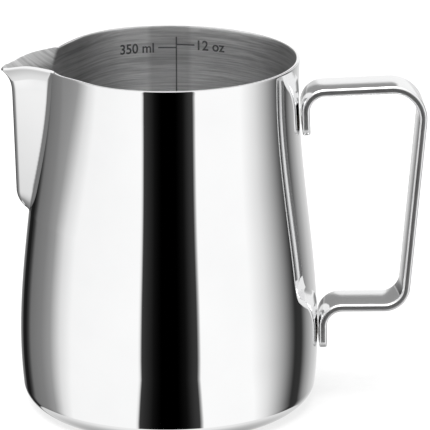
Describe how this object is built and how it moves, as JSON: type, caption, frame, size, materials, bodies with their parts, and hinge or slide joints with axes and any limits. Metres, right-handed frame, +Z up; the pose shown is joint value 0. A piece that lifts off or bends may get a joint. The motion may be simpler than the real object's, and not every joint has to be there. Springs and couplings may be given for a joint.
{
  "type": "milk frothing pitcher",
  "caption": "Handheld steaming jug for milk: round drawn steel cup, wider at the base than the rim, with a pressed V pouring spout and a bent strap handle.",
  "frame": {"origin": "centre of the cup's base, on its axis, in the plane it stands on", "axes": "+Z up along the cup's axis, +X towards the handle, -X towards the spout"},
  "size_m": [0.1091, 0.0782, 0.092],
  "materials": {
    "polished_steel": "mirror polished outside, brushed round the inside",
    "handle_steel": "polished strap with finely brushed faces",
    "weld_steel": "dull fused steel"
  },
  "bodies": {
    "root": {"pitcher_body": "polished_steel", "handle": "handle_steel", "weld_upper_front": "weld_steel", "weld_upper_back": "weld_steel", "weld_lower_front": "weld_steel", "weld_lower_back": "weld_steel"}
  },
  "joints": []
}
